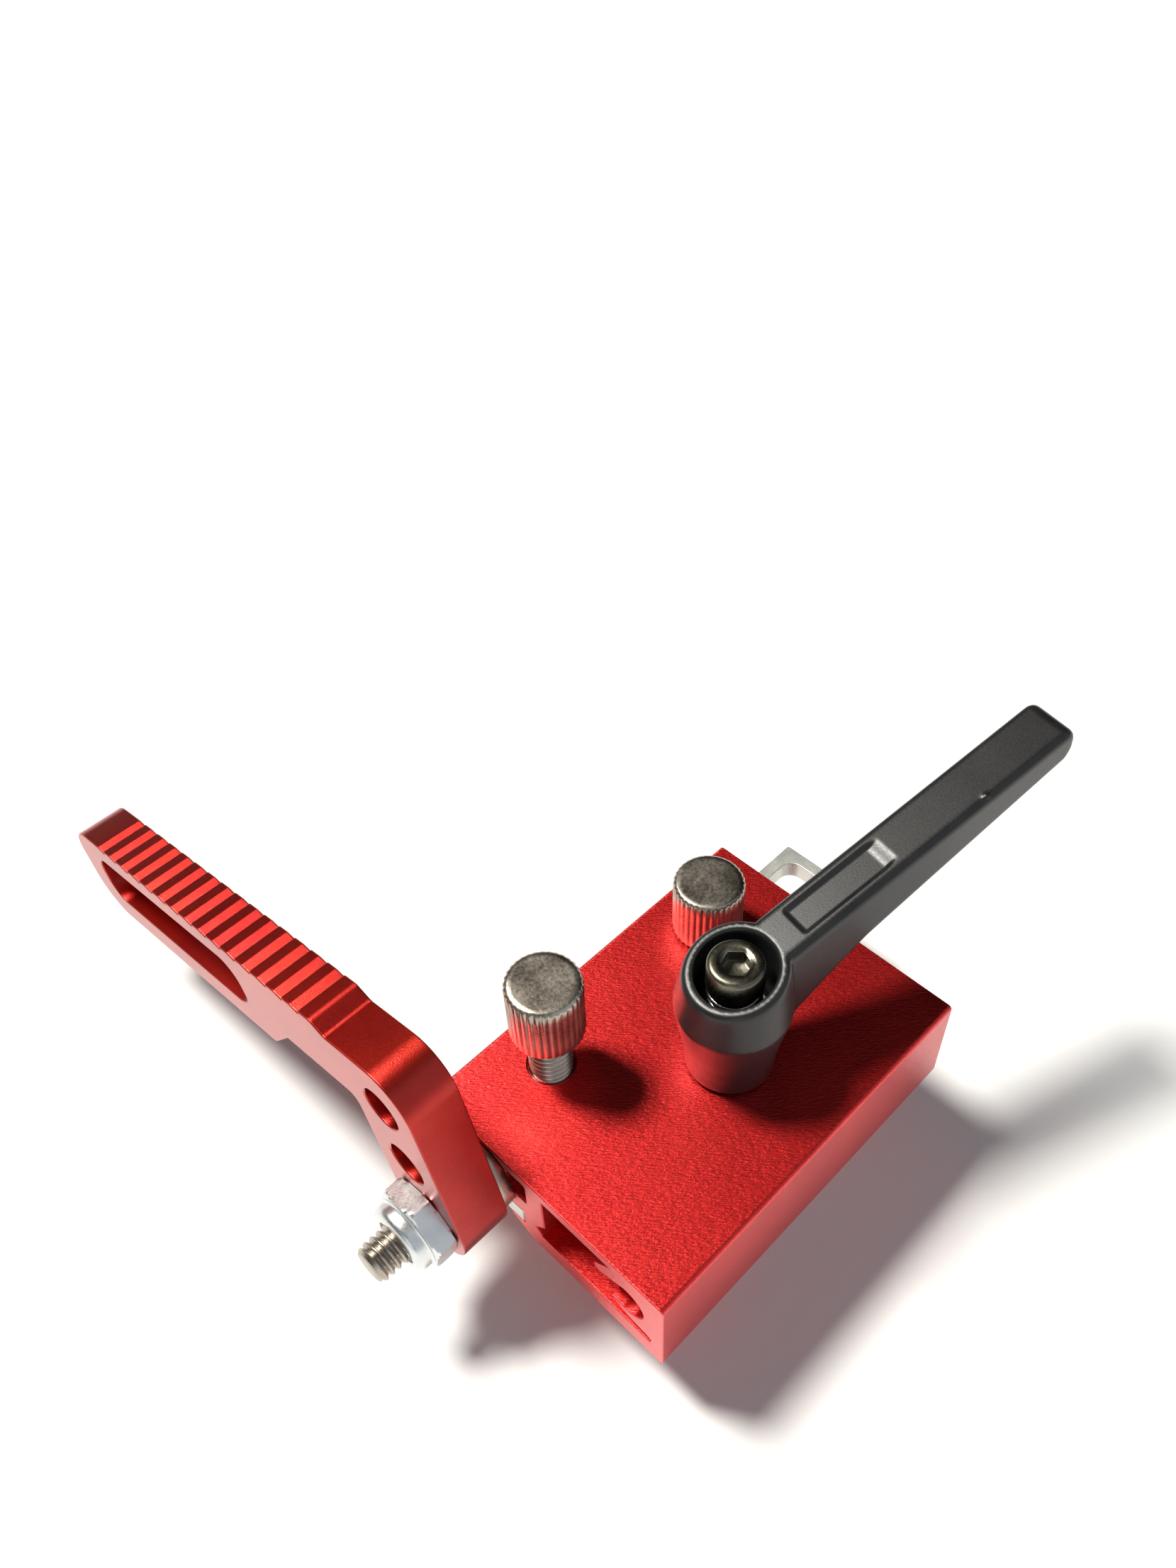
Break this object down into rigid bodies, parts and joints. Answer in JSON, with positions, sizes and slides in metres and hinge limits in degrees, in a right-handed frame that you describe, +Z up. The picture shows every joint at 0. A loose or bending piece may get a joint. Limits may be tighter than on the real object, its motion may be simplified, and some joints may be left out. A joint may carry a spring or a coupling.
{
  "type": "flip stop",
  "caption": "Flip stop with a ribbed L-shaped lever, a clamp handle, thumb screws and a slide bar on an extruded block, for setting work against a fence or jig.",
  "frame": {"origin": "on the clamp axis, at the underside of the block", "axes": "+X along the extrusion away from the flip lever, +Z up along the clamp axis, +Y towards the free end of the flip lever"},
  "size_m": [0.0895, 0.0999, 0.0531],
  "materials": {
    "red_anodised": "satin red anodised, fine blasted grain",
    "plain_aluminium": "matt, fine speckle",
    "plated_steel": "zinc plated",
    "zinc_plate": "bright zinc",
    "nylon": "natural nylon",
    "nickel_plate": "satin nickel",
    "black_coat": "matt black powder coat",
    "dark_steel": "dull steel",
    "spring_steel": "bright wire"
  },
  "bodies": {
    "base": {"block": "red_anodised", "pivot_stud": "plated_steel", "pivot_washer": "plated_steel", "lock_nut": "zinc_plate", "nut_insert_ring": "nylon"},
    "bar": {"slide_bar": "plain_aluminium"},
    "lever": {"flip_lever": "red_anodised"},
    "front_screw": {"thumb_screw_front": "nickel_plate"},
    "rear_screw": {"thumb_screw_rear": "nickel_plate"},
    "clamp": {"clamp_insert": "plated_steel", "clamp_stud": "plated_steel", "retaining_screw": "dark_steel", "lift_spring": "spring_steel"},
    "handle": {"clamp_handle": "black_coat"},
    "nut": {"track_nut": "zinc_plate"}
  },
  "joints": [
    {"name": "lever_flip", "type": "hinge", "parent": "base", "child": "lever", "pos_m": [-0.0322, 0.01325, 0.00856], "axis": [1, 0, 0], "continuous": true},
    {"name": "bar_slide", "type": "slide", "parent": "base", "child": "bar", "axis": [1, 0, 0], "range_m": [0, 0.025]},
    {"name": "front_screw_travel", "type": "slide", "parent": "base", "child": "front_screw", "axis": [0, 0, 1], "range_m": [-0.0076, 0.001]},
    {"name": "rear_screw_travel", "type": "slide", "parent": "base", "child": "rear_screw", "axis": [0, 0, 1], "range_m": [0, 0.0076]},
    {"name": "clamp_turn", "type": "hinge", "parent": "base", "child": "clamp", "pos_m": [0, 0, 0.0144], "axis": [0, 0, 1], "range_deg": [-145, 110]},
    {"name": "handle_lift", "type": "slide", "parent": "clamp", "child": "handle", "axis": [0, 0, 1], "range_m": [0, 0.0026], "stiffness_N_per_m": 600, "springref_m": -0.003, "deforming": ["lift_spring"]},
    {"name": "nut_travel", "type": "slide", "parent": "base", "child": "nut", "axis": [0, 0, 1], "range_m": [-0.0006, 0.0006]}
  ],
  "couplings": [
    {"joint": "nut_travel", "follows": "clamp_turn", "m_per_rad": -0.00020213}
  ]
}
